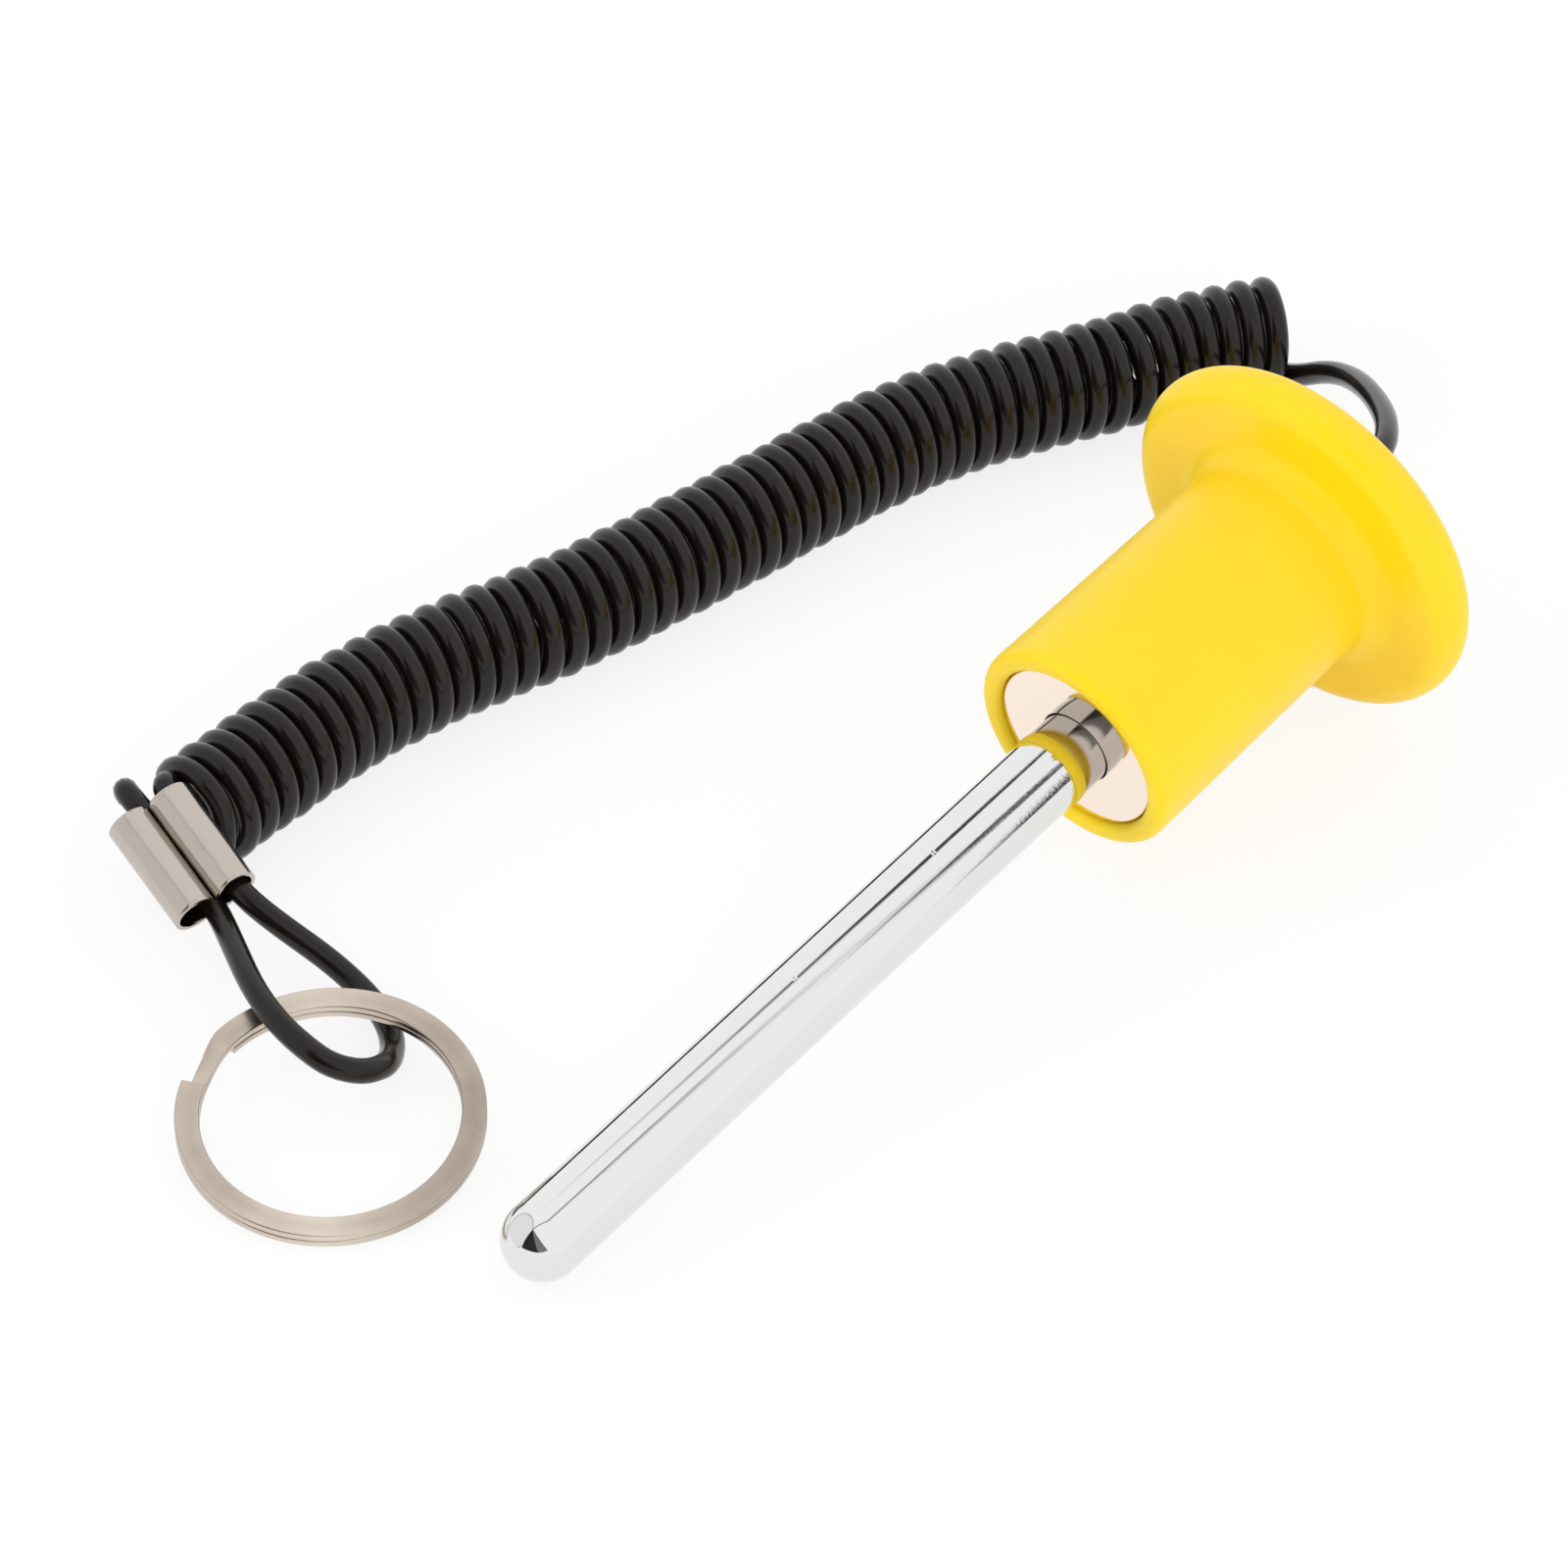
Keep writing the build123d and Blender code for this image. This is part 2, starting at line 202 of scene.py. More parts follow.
def srgb(code):
    """Linear RGBA from an sRGB hex code."""
    code = code.lstrip("#")
    channels = [int(code[i:i + 2], 16) / 255 for i in (0, 2, 4)]
    linear = [c / 12.92 if c <= 0.04045 else ((c + 0.055) / 1.055) ** 2.4 for c in channels]
    return (*linear, 1.0)


# ---- meshes ---------------------------------------------------------------------------------------
def grid_piece(name, points, wrap_u=False, wrap_v=False, caps=False, sharp=40.0):
    """Mesh over a grid of points (rows, columns, 3); a wrapped side joins its last line to its first.

    With caps, the first and last rows are closed loops and each is filled with a fan from its centre.
    """
    rows, columns = points.shape[:2]
    vertices = points.reshape(-1, 3)
    row = np.arange(rows if wrap_u else rows - 1)[:, None]
    column = np.arange(columns if wrap_v else columns - 1)[None, :]
    next_row = (row + 1) % rows
    next_column = (column + 1) % columns
    quads = np.stack(
        [
            row * columns + column,
            row * columns + next_column,
            next_row * columns + next_column,
            next_row * columns + column,
        ],
        axis=-1,
    ).reshape(-1, 4)
    faces = quads.tolist()
    if caps:
        centres = np.stack([points[0].mean(axis=0), points[-1].mean(axis=0)])
        first, last = len(vertices), len(vertices) + 1
        vertices = np.vstack([vertices, centres])
        ring = np.arange(columns)
        ahead = (ring + 1) % columns
        faces += np.stack([np.full(columns, first), ahead, ring], axis=-1).tolist()
        base = (rows - 1) * columns
        faces += np.stack([np.full(columns, last), base + ring, base + ahead], axis=-1).tolist()
    mesh = bpy.data.meshes.new(name)
    mesh.from_pydata(vertices.tolist(), [], faces)
    tidy = bmesh.new()
    tidy.from_mesh(mesh)
    bmesh.ops.remove_doubles(tidy, verts=tidy.verts, dist=1e-6)
    bmesh.ops.recalc_face_normals(tidy, faces=tidy.faces)
    tidy.to_mesh(mesh)
    tidy.free()
    mesh.shade_smooth()
    mesh.set_sharp_from_angle(angle=math.radians(sharp))
    piece = bpy.data.objects.new(name, mesh)
    bpy.context.scene.collection.objects.link(piece)
    return piece


def dress(piece, material, slot, body, *nodes):
    """Give a finished piece its material, body and the solids it stands for; the slot is not used."""
    piece.data.materials.clear()
    piece.data.materials.append(material)
    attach(piece, body)
    if nodes:
        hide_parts(*nodes)
    return piece


def arc(middle, radius, start, stop, steps):
    """Points of a circular arc between two angles in degrees."""
    angle = np.radians(np.linspace(start, stop, steps + 1))
    return np.stack([middle[0] + radius * np.cos(angle), middle[1] + radius * np.sin(angle)], axis=-1)


def outline(*stretches):
    """One run of (station, radius) points from points and arcs, without repeated points."""
    points = np.vstack([np.atleast_2d(np.asarray(stretch, float)) for stretch in stretches])
    keep = np.r_[True, np.linalg.norm(np.diff(points, axis=0), axis=1) > 1e-6]
    return points[keep]


def lathe(name, profile, around, sharp=40.0, tongue=None):
    """Surface turned about the pin's line: tip + station * line + radius * (cos t * side + sin t * up).

    A tongue (angle, half width, reach, lift, rows) draws the first rows forward and out near one angle.
    """
    angle = np.linspace(0, 2 * np.pi, around, endpoint=False)
    out = np.cos(angle)[:, None] * PIN_SIDE + np.sin(angle)[:, None] * PIN_UP
    station = np.repeat(profile[:, :1], around, axis=1)
    radius = np.repeat(profile[:, 1:], around, axis=1)
    if tongue:
        middle, half, reach, lift, rows = tongue
        away = (np.degrees(angle) - middle) / half
        ragged, waves = 0.5, 9
        swell = np.clip(1 - away**2, 0, 1) * (1 + ragged * np.sin(waves * away))
        fade = np.linspace(1, 0, rows, endpoint=False)[:, None]
        station[:rows] -= reach * swell * fade
        radius[:rows] += lift * swell * fade
    points = PIN_TIP + MM * station[..., None] * PIN_LINE + MM * radius[..., None] * out[None]
    return grid_piece(name, points, wrap_v=True, sharp=sharp)


# ---- material nodes -------------------------------------------------------------------------------
def set_sockets(node, **values):
    """Constants straight on a node's sockets, or links where the value is another node's socket."""
    for key, value in values.items():
        socket = node.inputs[int(key[1:])] if key[0] == "_" else node.inputs[key.replace("__", " ")]
        if isinstance(value, bpy.types.NodeSocket):
            node.id_data.links.new(value, socket)
        else:
            socket.default_value = value


def add_node(tree, kind, settings=None, **values):
    """Add a node with its own settings and the values or links of its sockets."""
    node = tree.nodes.new(kind)
    for key, value in (settings or {}).items():
        setattr(node, key, value)
    set_sockets(node, **values)
    return node


def combine(tree, first, second=0.0, operation="MULTIPLY", third=0.0, clamp=False):
    """Up to three values joined by one sum."""
    settings = {"operation": operation, "use_clamp": clamp}
    return add_node(tree, "ShaderNodeMath", settings, _0=first, _1=second, _2=third).outputs[0]


def vector_math(tree, operation, first, second=(0.0, 0.0, 0.0)):
    """One sum on vectors: a number for a distance or a dot product, otherwise a vector."""
    node = add_node(tree, "ShaderNodeVectorMath", {"operation": operation}, _0=first, _1=tuple(second))
    return node.outputs["Value" if operation in ("DISTANCE", "DOT_PRODUCT") else "Vector"]


def noise(tree, where, scale, detail):
    """Even cloudy noise from 0 to 1."""
    return add_node(tree, "ShaderNodeTexNoise", Vector=where, Scale=scale, Detail=detail).outputs["Fac"]


def ramp(tree, value, low, high, start=0.0, stop=1.0):
    """Low where the value is at its start, high at its stop, straight between them and level beyond."""
    return add_node(
        tree, "ShaderNodeMapRange", Value=value, From__Min=start, From__Max=stop, To__Min=low, To__Max=high
    ).outputs[0]


def bump(tree, height, strength, distance, **under):
    """Relief from a height, over another relief where one is given as Normal."""
    return add_node(
        tree, "ShaderNodeBump", Height=height, Strength=strength, Distance=distance, **under
    ).outputs[0]


def mix_colours(tree, share, first, second):
    """The first colour where the share is 0, the second where it is 1."""
    ends = {"_6": (*first, 1.0), "_7": (*second, 1.0)}
    return add_node(tree, "ShaderNodeMix", {"data_type": "RGBA"}, _0=share, **ends).outputs[2]


def new_material(name):
    """Empty node material and its shader."""
    material = bpy.data.materials.new(name)
    material.use_nodes = True
    tree = material.node_tree
    tree.nodes.clear()
    shader = add_node(tree, "ShaderNodeBsdfPrincipled")
    output = add_node(tree, "ShaderNodeOutputMaterial", Surface=shader.outputs[0])
    output.name = "output"
    return material, tree, shader


def object_coordinates(tree):
    """Object coordinates, in metres."""
    return add_node(tree, "ShaderNodeTexCoord").outputs["Object"]


def pin_coordinates(tree, scale=(1.0, 1.0, 1.0)):
    """Object coordinates turned so that X runs along the pin's line from its tip, in metres."""
    moved = vector_math(tree, "SUBTRACT", object_coordinates(tree), PIN_TIP)
    tilt = (0.0, math.asin(PIN_LINE[2]), 0.0)
    return add_node(tree, "ShaderNodeMapping", Vector=moved, Rotation=tilt, Scale=scale).outputs[0]


def yellow_urethane(name, colour, deep_colour):
    """Cast urethane from a polished mould: even warm yellow, soft satin gloss, a little light inside."""
    material, tree, shader = new_material(name)
    where = pin_coordinates(tree)
    cloud = noise(tree, where, scale=60.0, detail=2.0)
    grain = noise(tree, where, scale=900.0, detail=3.0)
    set_sockets(
        shader,
        Base__Color=mix_colours(tree, cloud, deep_colour, colour),
        Roughness=ramp(tree, grain, 0.34, 0.46),
        Normal=bump(tree, grain, strength=0.05, distance=0.0002),
        IOR=1.45,
        Subsurface__Weight=0.25,
        Subsurface__Scale=0.004,
        Subsurface__Radius=(1.0, 0.7, 0.1),
    )
    return material


def chrome_plate(settings):
    """Bright chromium on ground bar: a mirror with faint lengthwise grinding, two nicks and a rubbed end."""
    material, tree, shader = new_material("chromium_plate_on_ground_bar")
    lines = noise(tree, pin_coordinates(tree, (18.0, 2600.0, 2600.0)), scale=1.0, detail=2.0)
    where = pin_coordinates(tree)
    station = add_node(tree, "ShaderNodeSeparateXYZ", Vector=where).outputs[0]
    rubbed = ramp(tree, station, 0.0, 0.6, start=0.068, stop=0.094)
    rub = combine(tree, noise(tree, where, scale=2600.0, detail=3.0), rubbed)
    height = combine(tree, lines, 0.2, "MULTIPLY_ADD", rub)
    object_where = object_coordinates(tree)
    for nick in ROD_NICKS:
        away = vector_math(tree, "DISTANCE", object_where, np.array(nick) * MM)
        pit = ramp(tree, away, -2.2, 0.0, start=0.06 * MM, stop=0.36 * MM)
        height = combine(tree, height, pit, "ADD")
    set_sockets(
        shader,
        Metallic=1.0,
        Base__Color=(*settings.chrome_colour, 1.0),
        Roughness=ramp(tree, lines, 0.02, 0.08),
        Normal=bump(tree, height, strength=0.16, distance=0.00004),
    )
    return material


def nickel_plate(
    name, colour, low, high, scale, second=None, middle=None, heading=None, scratch=0.08, dents=0.0
):
    """Nickel plating: warm grey metal, its roughness from low to high in clouds, with faint scratches.

    A second colour, where given, takes over towards a heading from the middle, and half-way opposite it, as
    painted shade; random flecks of it are mixed in.
    """
    material, tree, shader = new_material(name)
    where = object_coordinates(tree)
    marks = []
    for turn, stretch in (((0.3, 0.2, 0.9), (3000.0, 60.0, 60.0)), ((0.1, 0.4, 2.2), (1900.0, 110.0, 110.0))):
        drawn = add_node(tree, "ShaderNodeMapping", Vector=where, Rotation=turn, Scale=stretch)
        marks.append(noise(tree, drawn.outputs[0], scale=1.0, detail=1.0))
    relief = bump(tree, combine(tree, *marks, "MAXIMUM"), strength=scratch, distance=0.00003)
    if dents:
        hollow = noise(tree, where, scale=210.0, detail=1.0)
        relief = bump(tree, hollow, strength=dents, distance=0.0007, Normal=relief)
    tone = (*colour, 1.0)
    if second is not None:
        # painted shade: the second colour darkens the side towards the heading, and half as much opposite it,
        # plus random flecks
        unit = vector_math(tree, "NORMALIZE", vector_math(tree, "SUBTRACT", where, middle))
        side = vector_math(tree, "DOT_PRODUCT", unit, heading)
        shade_toward_heading = ramp(tree, side, 0.0, 0.9, start=0.1, stop=1.0)
        shade_away_from_heading = ramp(tree, side, 0.0, 0.55, start=-0.2, stop=-1.0)
        fleck = ramp(tree, noise(tree, where, scale=90.0, detail=3.0), -0.1, 0.3, start=0.3, stop=0.7)
        share = combine(tree, combine(tree, shade_toward_heading, shade_away_from_heading, "ADD"), fleck, "ADD", clamp=True)
        tone = mix_colours(tree, share, colour, second)
    gloss = ramp(tree, noise(tree, where, scale=scale, detail=4.0), low, high)
    set_sockets(shader, Metallic=1.0, Base__Color=tone, Roughness=gloss, Normal=relief)
    return material


def black_urethane(settings):
    """Extruded thermoplastic urethane: near-black with a brown cast, glossy, slightly uneven skin."""
    material, tree, shader = new_material("extruded_urethane_black")
    cloud = noise(tree, object_coordinates(tree), scale=260.0, detail=2.0)
    set_sockets(
        shader,
        Base__Color=(*settings.colour, 1.0),
        Roughness=ramp(tree, cloud, 0.12, 0.24),
        Normal=bump(tree, cloud, strength=0.06, distance=0.0002),
        IOR=1.39,
    )
    return material


# ---- user sizes and colours -----------------------------------------------------------------------
def length(name, description, default):
    """A length that a user can change, kept in metres."""
    return FloatProperty(
        name=name, description=description, default=default, min=0.0, unit="LENGTH", precision=5
    )


def colour(name, description, code):
    """A colour that a user can change, from an sRGB hex code."""
    return FloatVectorProperty(
        name=name, description=description, default=srgb(code)[:3], min=0.0, max=1.0, subtype="COLOR", size=3
    )


def count(name, description, default, least):
    """A whole number that a user can change."""
    return IntProperty(name=name, description=description, default=default, min=least)


def power(name, description, default):
    """A lamp's power that a user can change, in watts."""
    return FloatProperty(name=name, description=description, default=default, unit="POWER")


class STACKPIN_PG_rod(bpy.types.PropertyGroup):
    rod_radius: length("Rod radius", "Radius of the chromed rod", 5.0 * MM)
    shank_radius: length("Shank radius", "Radius of the screwed shank", 3.95 * MM)
    buffer_rear_radius: length("Buffer rear radius", "Soft ring's radius beside the neck", 4.95 * MM)
    neck_radius: length("Neck radius", "Radius of the insert's neck ring", 4.9 * MM)
    magnet_radius: length("Magnet radius", "Outside radius of the ring magnet", 11.6 * MM)
    chrome_colour: colour("Chrome", "Colour of the chromium plate", "#E4E5E4")
    neck_colour: colour("Neck nickel", "Colour of the neck's nickel plate", "#B9B8B7")
    magnet_colour: colour("Magnet nickel", "Colour of the magnet's nickel plate", "#FBEBDD")
    # painted shade: the knob's yellow, darkened for the soft ring tucked between rod and knob
    buffer_shaded_yellow: colour("Buffer yellow", "Colour of the soft ring on the shank", "#E0BC12")


class STACKPIN_PG_knob(bpy.types.PropertyGroup):
    collar_front_radius: length("Collar front radius", "Collar radius beside the lip", 14.6 * MM)
    collar_rear_radius: length("Collar rear radius", "Collar radius where the flare starts", 14.2 * MM)
    flange_radius: length("Flange radius", "Largest radius of the knob", 25.15 * MM)
    rim_round: length("Rim round", "Radius of the thick rounded rim", RIM * MM)
    flare_radius: length("Flare radius", "Concave radius between collar and flange", FLARE * MM)
    colour: colour("Yellow", "Main colour of the moulding", "#FBDA12")
    deep_colour: colour("Deep yellow", "Deeper tone in the moulding", "#FAD008")


class STACKPIN_PG_cord(bpy.types.PropertyGroup):
    cord_radius: length("Cord radius", "Radius of the urethane cord", 1.55 * MM)
    coil_radius: length("Coil radius", "Radius of the coil to the middle of the cord", 6.25 * MM)
    turns: count("Turns", "Number of turns in the coil", 50, least=1)
    steps_per_turn: count("Steps per turn", "Control points in each turn", 16, least=12)
    colour: colour("Black", "Colour of the cord", "#16120F")


class STACKPIN_PG_ferrule(bpy.types.PropertyGroup):
    ferrule_length: length("Length", "Length of the folded clamp", 15.2 * MM)
    wall: length("Wall", "Thickness of the folded sheet", 0.6 * MM)
    channel: length("Channel radius", "Inside radius of each barrel", 2.3 * MM)
    colour: colour("Nickel", "Colour of the clamp's plating", "#C2B9B1")


class STACKPIN_PG_ring(bpy.types.PropertyGroup):
    ring_radius: length("Radius", "Outside radius of the split ring", 18.4 * MM)
    band: length("Band", "Width of the flat wire", 2.95 * MM)
    crossing_cut: length("Crossing cut", "How much narrower the wire is where it climbs", 1.0 * MM)
    turn_thickness: length("Turn thickness", "Thickness of one turn", 1.02 * MM)
    colour: colour("Nickel", "Colour of the ring's plating", "#E2D5C8")
    # painted shade: the ring's side towards a heading takes this colour, and random flecks of it are mixed in
    shade_and_fleck_colour: colour("Second nickel", "Colour painted on the ring's shaded side and in its flecks", "#A99D90")


class STACKPIN_PG_stage(bpy.types.PropertyGroup):
    floor_colour: colour("Floor", "Colour of the floor", "#F7F7F7")
    tent_strength: FloatProperty(
        name="Tent", description="Strength of the light from all round", default=1.05
    )
    lamp_power: power("Lamp power", "Power of the main soft light", 4.5)
    fill_power: power("Fill power", "Power of the second soft light", 2.6)


GROUPS = (
    ("rod", STACKPIN_PG_rod),
    ("knob", STACKPIN_PG_knob),
    ("cord", STACKPIN_PG_cord),
    ("ferrule", STACKPIN_PG_ferrule),
    ("ring", STACKPIN_PG_ring),
    ("stage", STACKPIN_PG_stage),
)


def settings_of(context, name):
    """The property group of one piece."""
    return getattr(context.scene, "stackpin_" + name)


# ---- stage ----------------------------------------------------------------------------------------
CAMERA_AZIMUTH = -47.89
CAMERA_ELEVATION = 41.96
CAMERA_TARGET = np.array((9.735, 35.677, 0.0)) * MM
CAMERA_DISTANCE = 0.8
CAMERA_LENS = 146.46
FLOOR_HALF = 4.0
# to the camera and in mirrors the floor glows by this share, at this strength
FLOOR_GLOW_SHARE, FLOOR_GLOW = 0.82, 1.01
# name, place, aim, size and the setting that holds the power
LAMPS = (
    ("key_lamp", (-0.8, -0.75, 0.5), (0.02, 0.03, 0.0), 0.9, "lamp_power"),
    ("fill_lamp", (-0.75, 0.6, 0.5), (0.06, 0.02, 0.02), 0.7, "fill_power"),
)
WHITE = (1.0, 1.0, 1.0, 1.0)

# directions, from the pin, of things in the light tent's wall, and how dark each one is
TENT_OPENING = ((-0.45, 0.12, 0.885), (-0.97, 0.21, 0.125), (-0.517, -0.823, 0.235))
TENT_OPENING_FOLD = (-0.82, -0.551, 0.156)
TENT_OPENING_DEPTHS = (0.97, 0.8)
TENT_PATCH, TENT_PATCH_ANGLE = (-0.565, 0.655, 0.502), 38.0
TENT_PATCH_DEPTH, TENT_HEM_DEPTH = 0.13, 0.4
# softness of edges: of the opening and the skirt, of the patch and the window, and of a seam's ends
TENT_EDGE, TENT_SOFT_EDGE, TENT_SEAM_END = 0.008, 0.01, 0.02
# where the patch's hem starts to fade and where it is gone
TENT_HEM = (0.008, 0.028)
# each seam's start, stop, half width and depth
TENT_SEAMS = (
    ((0.27, 0.441, 0.856), (0.314, 0.376, 0.872), 0.03, 0.4),
    ((0.314, 0.376, 0.872), (0.358, 0.215, 0.908), 0.045, 0.95),
    (TENT_OPENING[0], (0.25, -0.104, 0.963), 0.03, 0.8),
    ((0.25, -0.104, 0.963), (0.268, -0.147, 0.952), 0.03, 0.8),
    ((0.268, -0.147, 0.952), (0.295, -0.253, 0.921), 0.022, 0.4),
    ((0.295, -0.253, 0.921), (0.344, -0.475, 0.81), 0.014, 0.25),
    ((0.344, -0.475, 0.81), (0.395, -0.65, 0.65), 0.022, 0.95),
)
TENT_WINDOW = (
    (0.4, -0.688, 0.606),
    (0.438, -0.833, 0.339),
    (0.457, -0.889, 0.034),
    (0.361, -0.614, 0.702),
)
TENT_WINDOW_GAIN = 1.15
TENT_SKIRT = (
    (0.418, -0.675, 0.608),
    (0.438, -0.833, 0.339),
    (0.454, -0.884, 0.115),
    (0.471, -0.878, -0.084),
    (0.494, -0.866, 0.075),
)
TENT_SKIRT_DEPTH = 0.96


def add_camera():
    """Camera on a line of sight given by azimuth and elevation, looking at a point on the floor."""
    azimuth, elevation = math.radians(CAMERA_AZIMUTH), math.radians(CAMERA_ELEVATION)
    back = np.array(
        (
            math.sin(azimuth) * math.cos(elevation),
            -math.cos(azimuth) * math.cos(elevation),
            math.sin(elevation),
        )
    )
    side = np.array((math.cos(azimuth), math.sin(azimuth), 0.0))
    up = np.cross(back, side)
    camera = bpy.data.objects.new("camera", bpy.data.cameras.new("camera"))
    camera.data.sensor_width = 36.0
    camera.data.lens = CAMERA_LENS
    camera.data.clip_start, camera.data.clip_end = 0.05, 20.0
    turn = Matrix(np.stack([side, up, back], axis=-1).tolist()).to_4x4()
    camera.matrix_world = Matrix.Translation(Vector(CAMERA_TARGET + CAMERA_DISTANCE * back)) @ turn
    bpy.context.scene.collection.objects.link(camera)
    bpy.context.scene.camera = camera


def add_softbox(name, place, target, size, power):
    """Square area lamp facing a point; mirrors don't show it."""
    lamp = bpy.data.lights.new(name, "AREA")
    lamp.shape = "RECTANGLE"
    lamp.size = lamp.size_y = size
    lamp.energy = power
    holder = bpy.data.objects.new(name, lamp)
    aim = (Vector(target) - Vector(place)).to_track_quat("-Z", "Y")
    holder.matrix_world = Matrix.Translation(Vector(place)) @ aim.to_matrix().to_4x4()
    holder.visible_glossy = False
    bpy.context.scene.collection.objects.link(holder)


def side_of(tree, where, normal, edge):
    """1 on the side of a plane through the middle that its normal points to, 0 on the other; soft edge."""
    return ramp(tree, vector_math(tree, "DOT_PRODUCT", where, normal), 0.0, 1.0, start=-edge, stop=edge)


def within(tree, where, corners, edge):
    """1 between flat sides through the middle and each two neighbouring corners, which are directions."""
    mask = None
    inside = np.mean(corners, axis=0)
    for here, there in zip(corners, corners[1:] + corners[:1]):
        normal = np.cross(here, there)
        normal *= np.sign(normal @ inside) / np.linalg.norm(normal)
        side = side_of(tree, where, normal, edge)
        mask = side if mask is None else combine(tree, mask, side)
    return mask


def seam(tree, where, start, stop, half_width):
    """1 on a thin great-circle line between two directions, fading at its edges and ends."""
    start, stop = np.array(start), np.array(stop)
    normal = np.cross(start, stop)
    normal /= np.linalg.norm(normal)
    away = combine(tree, vector_math(tree, "DOT_PRODUCT", where, normal), operation="ABSOLUTE")
    line = ramp(tree, away, 1.0, 0.0, start=0.4 * half_width, stop=1.2 * half_width)
    for end in (np.cross(normal, start), np.cross(stop, normal)):
        line = combine(tree, line, side_of(tree, where, end, TENT_SEAM_END))
    return line


def tent_light(tree, strength):
    """White light tent: even light, a dark three-cornered opening, a pale patch and a few thin dark seams."""
    where = add_node(tree, "ShaderNodeTexCoord").outputs["Generated"]
    top, left, right = TENT_OPENING
    halves = ((left, TENT_OPENING_FOLD, top), (TENT_OPENING_FOLD, right, top))
    shades = []
    for half, depth in zip(halves, TENT_OPENING_DEPTHS):
        shades.append((within(tree, where, half, TENT_EDGE), depth))
    on_patch = vector_math(tree, "DOT_PRODUCT", where, TENT_PATCH)
    rim = math.cos(math.radians(TENT_PATCH_ANGLE))
    patch = ramp(tree, on_patch, 0.0, 1.0, start=rim - TENT_SOFT_EDGE, stop=rim + TENT_SOFT_EDGE)
    shades.append((patch, TENT_PATCH_DEPTH))
    off_rim = combine(tree, combine(tree, on_patch, rim, "SUBTRACT"), operation="ABSOLUTE")
    shades.append((ramp(tree, off_rim, 1.0, 0.0, *TENT_HEM), TENT_HEM_DEPTH))
    shades.append((within(tree, where, TENT_SKIRT, TENT_EDGE), TENT_SKIRT_DEPTH))
    for start, stop, half_width, depth in TENT_SEAMS:
        shades.append((seam(tree, where, start, stop, half_width), depth))
    window = within(tree, where, TENT_WINDOW, TENT_SOFT_EDGE)
    level = ramp(tree, window, strength, TENT_WINDOW_GAIN * strength)
    for mask, depth in shades:
        level = combine(tree, level, combine(tree, mask, -depth, "MULTIPLY_ADD", 1.0))
    return add_node(tree, "ShaderNodeBackground", Color=WHITE, Strength=level)


def add_world(strength):
    """Light tent all round; the camera itself sees plain white beyond the floor."""
    world = bpy.data.worlds.new("light_tent")
    bpy.context.scene.world = world
    world.use_nodes = True
    tree = world.node_tree
    tree.nodes.clear()
    tent = tent_light(tree, strength).outputs[0]
    plain = add_node(tree, "ShaderNodeBackground", Color=WHITE, Strength=1.0).outputs[0]
    seen = add_node(tree, "ShaderNodeLightPath").outputs["Is Camera Ray"]
    mixed = add_node(tree, "ShaderNodeMixShader", _0=seen, _1=tent, _2=plain)
    add_node(tree, "ShaderNodeOutputWorld", Surface=mixed.outputs[0])


def add_floor(colour):
    """Matt paper floor that looks white to the camera and to mirrors, and still takes the soft shadows."""
    material, tree, shader = new_material("matt_paper_floor")
    set_sockets(shader, Roughness=0.9, Base__Color=(*colour, 1.0))
    rays = add_node(tree, "ShaderNodeLightPath").outputs
    seen = combine(tree, rays["Is Camera Ray"], rays["Is Glossy Ray"], "MAXIMUM")
    seen = combine(tree, seen, rays["Is Transmission Ray"], "MAXIMUM")
    glow = add_node(tree, "ShaderNodeEmission", Color=WHITE, Strength=FLOOR_GLOW).outputs[0]
    paper = shader.outputs[0]
    lit = add_node(tree, "ShaderNodeMixShader", _0=FLOOR_GLOW_SHARE, _1=paper, _2=glow).outputs[0]
    final = add_node(tree, "ShaderNodeMixShader", _0=seen, _1=paper, _2=lit)
    set_sockets(tree.nodes["output"], Surface=final.outputs[0])
    ends = (-FLOOR_HALF, FLOOR_HALF)
    floor = grid_piece("floor", np.array([[(x, y, 0.0) for x in ends] for y in ends]))
    floor.data.materials.append(material)


class STACKPIN_OT_camera(bpy.types.Operator):
    """Place the camera"""
    bl_idname = "stackpin.camera"
    bl_label = "Camera"

    def execute(self, context):
        add_camera()
        return {"FINISHED"}


class STACKPIN_OT_stage(bpy.types.Operator):
    """Pale floor, soft light from all round, and two soft lamps"""
    bl_idname = "stackpin.stage"
    bl_label = "Stage"

    def execute(self, context):
        settings = settings_of(context, "stage")
        add_world(settings.tent_strength)
        add_floor(settings.floor_colour)
        for name, place, target, size, power_setting in LAMPS:
            add_softbox(name, place, target, size, getattr(settings, power_setting))
        return {"FINISHED"}


# ---- cord -----------------------------------------------------------------------------------------
def route_curve(name, points):
    """NURBS curve, one open spline, with the given control points in metres."""
    curve = bpy.data.curves.new(name, "CURVE")
    curve.dimensions = "3D"
    spline = curve.splines.new("NURBS")
    spline.points.add(len(points) - 1)
    flat = np.ones((len(points), 4))
    flat[:, :3] = points
    spline.points.foreach_set("co", flat.ravel())
    spline.order_u = 3
    spline.use_endpoint_u = True
    return curve


def centreline(curve):
    """Points along a curve that has no bevel."""
    holder = bpy.data.objects.new("route_probe", curve)
    bpy.context.scene.collection.objects.link(holder)
    bpy.context.view_layer.update()
    mesh = bpy.data.meshes.new_from_object(holder)
    points = np.empty(len(mesh.vertices) * 3)
    mesh.vertices.foreach_get("co", points)
    bpy.data.objects.remove(holder)
    bpy.data.meshes.remove(mesh)
    return points.reshape(-1, 3)


